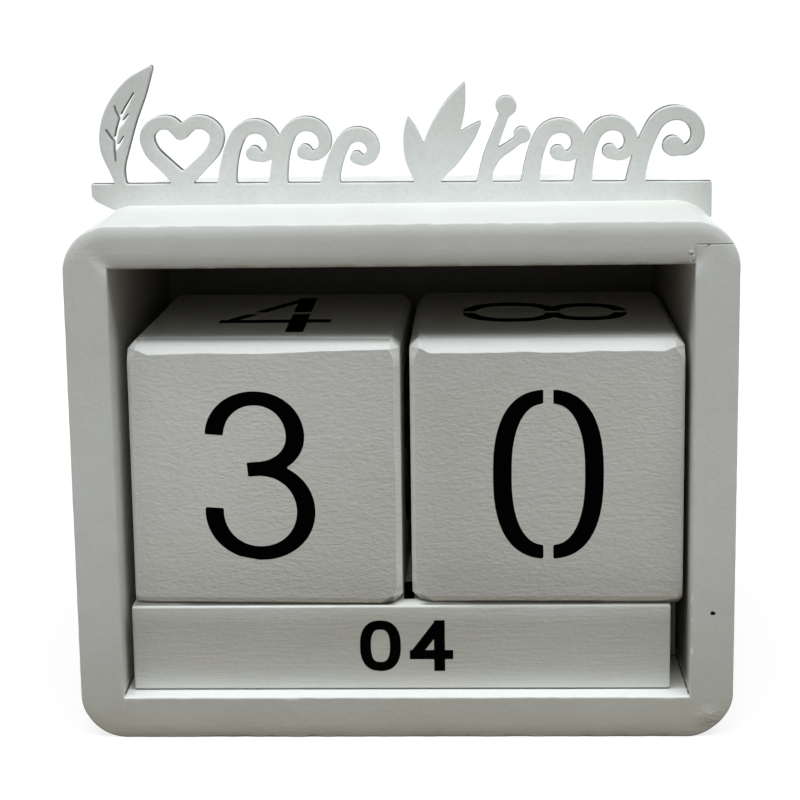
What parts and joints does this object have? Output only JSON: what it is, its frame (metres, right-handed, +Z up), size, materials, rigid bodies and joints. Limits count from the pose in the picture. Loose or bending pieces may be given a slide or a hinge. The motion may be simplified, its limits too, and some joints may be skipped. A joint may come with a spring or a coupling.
{
  "type": "block calendar",
  "caption": "Desk block calendar: an open-fronted wooden box with a fretwork crest, holding number cubes above month bars that pull out to be turned to the date.",
  "frame": {"origin": "bottom centre of the bounding box, on the surface that the calendar stands on", "axes": "+X to the viewer's right, the open front faces -Y, +Z up"},
  "size_m": [0.122, 0.079, 0.1246],
  "materials": {
    "painted_board": "fibreboard sprayed with matt off-white paint, sanded edges",
    "painted_crest": "thin fibreboard sprayed off-white, cut edges dark where the spray missed",
    "painted_cube": "fibreboard sprayed with matt off-white paint, fine orange peel",
    "painted_bar": "fibreboard sprayed with matt off-white paint, faint streaks along the length",
    "numeral_paint": "matt black stencilled paint on wood",
    "brad_steel": "plain steel brads, heads set and filled"
  },
  "bodies": {
    "frame": {"top_board": "painted_board", "bottom_board": "painted_board", "left_side_board": "painted_board", "right_side_board": "painted_board", "back_panel": "painted_board", "crest_fretwork": "painted_crest", "corner_brads": "brad_steel", "back_panel_brads": "brad_steel"},
    "left_cube": {"left_day_cube": "painted_cube"},
    "right_cube": {"right_day_cube": "painted_cube"},
    "back_bar": {"month_bar_back": "painted_bar"},
    "middle_bar": {"month_bar_middle": "painted_bar"},
    "front_bar": {"month_bar_front": "painted_bar"}
  },
  "joints": [
    {"name": "left_cube_slide", "type": "slide", "parent": "frame", "child": "left_cube", "axis": [0, -1, 0], "range_m": [0, 0.062]},
    {"name": "right_cube_slide", "type": "slide", "parent": "frame", "child": "right_cube", "axis": [0, -1, 0], "range_m": [0, 0.062]},
    {"name": "back_bar_slide", "type": "slide", "parent": "frame", "child": "back_bar", "axis": [0, -1, 0], "range_m": [0, 0.058]},
    {"name": "middle_bar_slide", "type": "slide", "parent": "back_bar", "child": "middle_bar", "axis": [0, -1, 0], "range_m": [0, 0.041]},
    {"name": "front_bar_slide", "type": "slide", "parent": "middle_bar", "child": "front_bar", "axis": [0, -1, 0], "range_m": [0, 0.024]}
  ]
}
